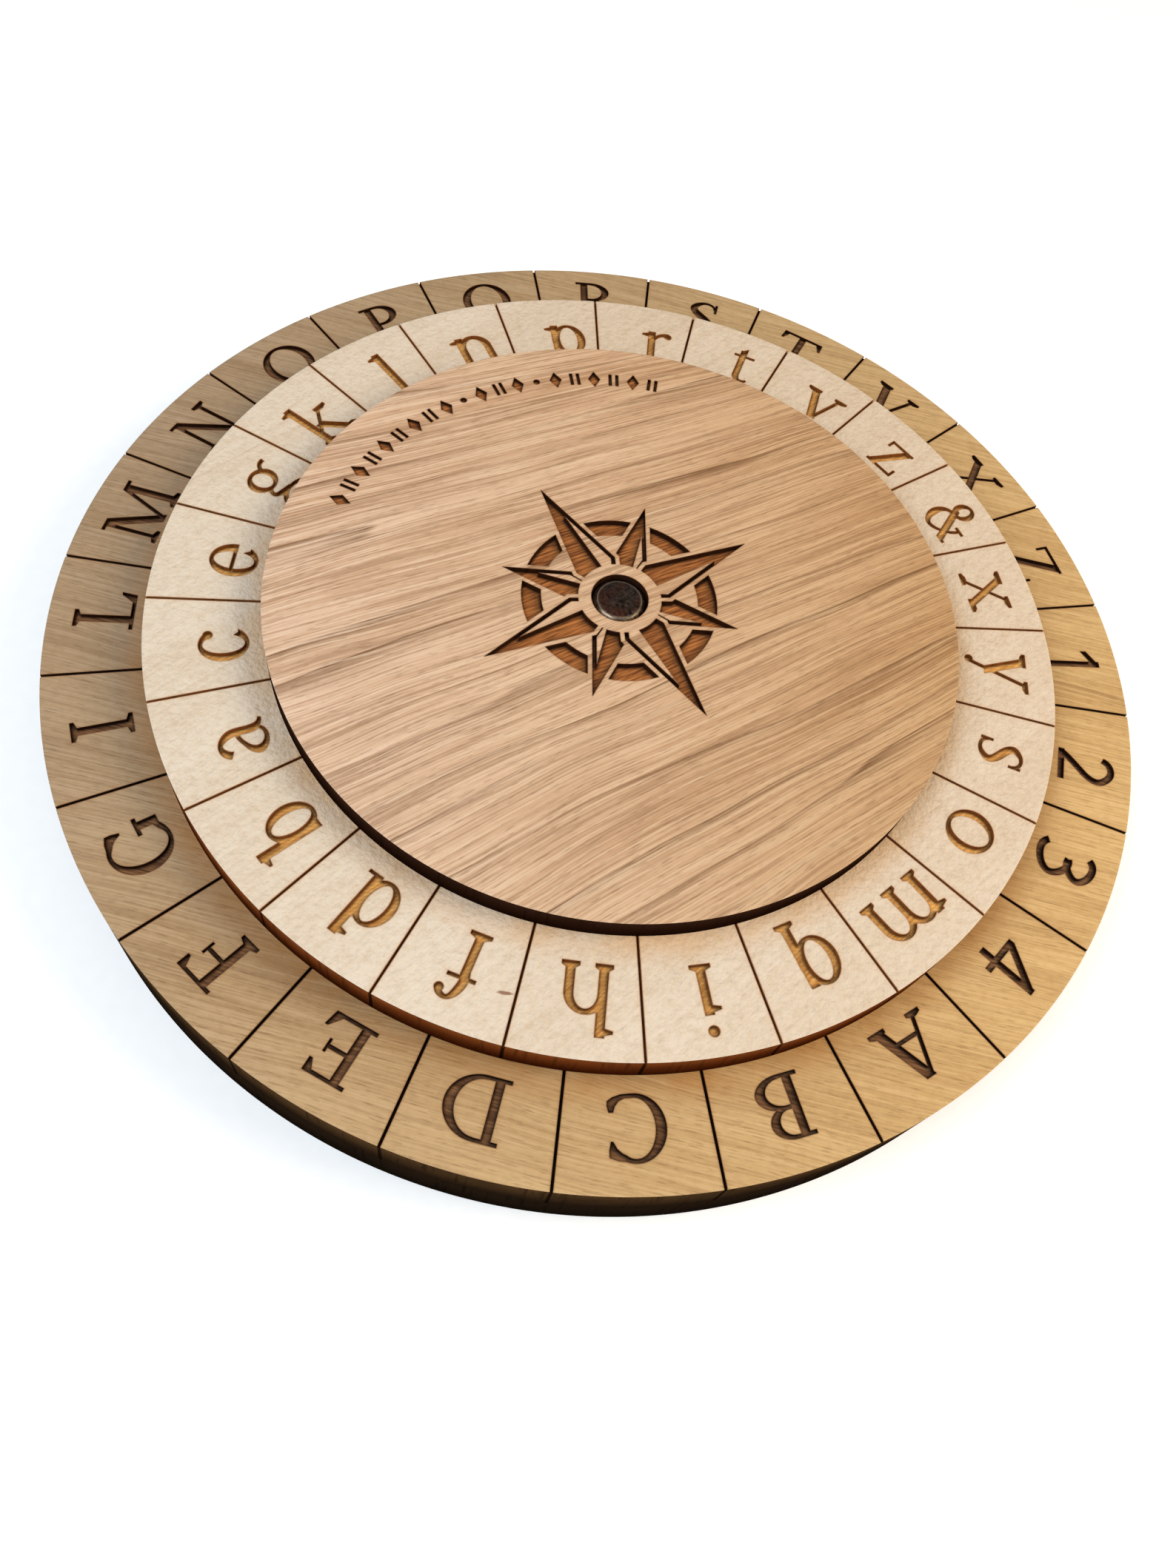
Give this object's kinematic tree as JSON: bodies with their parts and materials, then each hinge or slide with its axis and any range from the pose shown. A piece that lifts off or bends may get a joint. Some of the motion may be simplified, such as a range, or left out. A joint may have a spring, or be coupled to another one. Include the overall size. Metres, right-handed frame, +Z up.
{
  "type": "alberti cipher disk",
  "caption": "Laser-cut wooden Alberti cipher disk: a lettered base dial, a turning lettered cipher disc and an engraved cover disc on a flush steel pivot pin.",
  "frame": {"origin": "middle of the underside of the base, on the pivot axis", "axes": "+Z up along the pivot, the way the lettered faces look; +Y away from the reader; seen from above the capitals run clockwise with A towards +X and -Y"},
  "size_m": [0.1334, 0.1334, 0.0202],
  "materials": {
    "base_wood": "satin",
    "cipher_wood": "satin",
    "cover_wood": "satin",
    "pin_steel": "polished",
    "ring_steel": "satin",
    "washer_nylon": "matte"
  },
  "bodies": {
    "base": {"base_back_plate": "base_wood", "base_dial_plate": "base_wood", "pivot_pin": "pin_steel", "thrust_washer": "washer_nylon", "keeper_washer": "washer_nylon", "retaining_ring": "ring_steel"},
    "rotor": {"cipher_disc": "cipher_wood", "cover_disc": "cover_wood"}
  },
  "joints": [
    {"name": "cipher_turn", "type": "hinge", "parent": "base", "child": "rotor", "pos_m": [0, 0, 0.0145], "axis": [0, 0, 1], "continuous": true}
  ]
}
